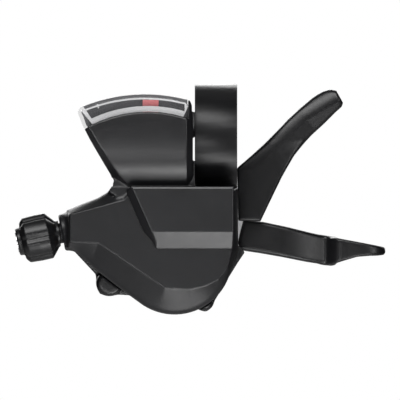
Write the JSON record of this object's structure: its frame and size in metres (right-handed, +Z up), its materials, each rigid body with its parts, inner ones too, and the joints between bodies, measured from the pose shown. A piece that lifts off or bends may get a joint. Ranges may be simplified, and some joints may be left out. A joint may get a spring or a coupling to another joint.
{
  "type": "thumb shifter",
  "caption": "Handlebar gear shifter with two thumb levers, a ratcheting cable winder, a geared display pointer behind a window, a split bar clamp and a threaded cable adjuster",
  "frame": {"origin": "centre of the handlebar clamp bore, at the middle of the band's width", "axes": "+X along the handlebar toward the grip and the levers' tips, +Z up with the display at the top, the rider looks along +Y"},
  "size_m": [0.1074, 0.0489, 0.0669],
  "materials": {
    "clamp_metal": "satin black coating",
    "bolt_steel": "plain plated steel",
    "plate_steel": "stamped plate",
    "body_plastic": "fine moulded grain",
    "cover_plastic": "fine moulded grain",
    "clear_window": "clear moulded lens",
    "pale_plastic": "pale moulded frame",
    "dial_print": "printed dial",
    "inner_plastic": "plain moulding",
    "axle_steel": "turned steel",
    "pointer_red": "red pointer",
    "brass_gear": "machined",
    "spring_steel": "drawn wire",
    "lever_steel": "stamped and tumbled",
    "lever_plastic": "satin moulded",
    "neck_black": "black plated thread",
    "knob_plastic": "satin moulded"
  },
  "bodies": {
    "housing": {"clamp_band": "clamp_metal", "clamp_bolt": "bolt_steel", "clamp_nut": "bolt_steel", "bracket_screws": "bolt_steel", "base_bracket": "plate_steel", "lower_shell": "body_plastic", "top_cover": "cover_plastic", "indicator_window": "clear_window", "window_frame": "pale_plastic", "dial_plate": "dial_print", "indicator_base": "inner_plastic", "pointer_pin": "axle_steel", "main_axle": "axle_steel", "axle_washer": "axle_steel", "axle_nut": "axle_steel", "winder_spring": "spring_steel", "stop_pin": "axle_steel", "release_spring": "spring_steel", "rear_cover": "body_plastic", "rear_screws": "bolt_steel", "lever_spring": "spring_steel", "cable_guide": "inner_plastic", "adjuster_insert": "brass_gear"},
    "main_lever": {"main_plate": "lever_steel", "main_paddle": "lever_plastic", "main_bush": "axle_steel", "drive_plate": "plate_steel", "feed_pin": "axle_steel"},
    "feed_pawl_body": {"feed_pawl": "plate_steel"},
    "release_lever": {"release_plate": "lever_steel", "release_blade": "lever_plastic", "release_link": "axle_steel"},
    "stop_pawl_body": {"stop_pawl": "plate_steel"},
    "winder_body": {"winder": "inner_plastic", "pinion": "brass_gear", "index_ratchet": "plate_steel", "drive_ratchet": "plate_steel"},
    "pointer_body": {"pointer": "pointer_red"},
    "adjuster_body": {"adjuster_knob": "knob_plastic", "adjuster_bolt": "neck_black", "casing_seat": "axle_steel"}
  },
  "joints": [
    {"name": "main_lever_pivot", "type": "hinge", "parent": "housing", "child": "main_lever", "pos_m": [-0.008, 0, -0.029], "axis": [0, -1, 0], "range_deg": [0, 33], "stiffness_Nm_per_rad": 0.05, "springref_deg": -17.19},
    {"name": "feed_pawl_pivot", "type": "hinge", "parent": "main_lever", "child": "feed_pawl_body", "pos_m": [-0.01104, 0.004, -0.04328], "axis": [0, 1, 0], "range_deg": [0, 12], "stiffness_Nm_per_rad": 0.001, "springref_deg": -11.46},
    {"name": "release_lever_pivot", "type": "hinge", "parent": "housing", "child": "release_lever", "pos_m": [-0.008, 0, -0.029], "axis": [0, 1, 0], "range_deg": [0, 10], "stiffness_Nm_per_rad": 0.06, "springref_deg": -11.46},
    {"name": "stop_pawl_pivot", "type": "hinge", "parent": "housing", "child": "stop_pawl_body", "pos_m": [-0.024, -0.0007, -0.04], "axis": [0, -1, 0], "range_deg": [0, 26.1]},
    {"name": "winder_turn", "type": "hinge", "parent": "housing", "child": "winder_body", "pos_m": [-0.008, 0, -0.029], "axis": [0, -1, 0], "range_deg": [-31, 77.5]},
    {"name": "pointer_turn", "type": "hinge", "parent": "housing", "child": "pointer_body", "pos_m": [-0.02, -0.01345, -0.0325], "axis": [0, -1, 0], "range_deg": [-9.1, 22.7]},
    {"name": "adjuster_turn", "type": "hinge", "parent": "housing", "child": "adjuster_body", "pos_m": [-0.0525, -0.006, -0.0297], "axis": [-0.9781, 0, -0.2079], "range_deg": [-180, 720]}
  ],
  "couplings": [
    {"joint": "pointer_turn", "follows": "winder_turn", "ratio": 0.29167},
    {"joint": "stop_pawl_pivot", "follows": "release_lever_pivot", "ratio": 2.6}
  ]
}
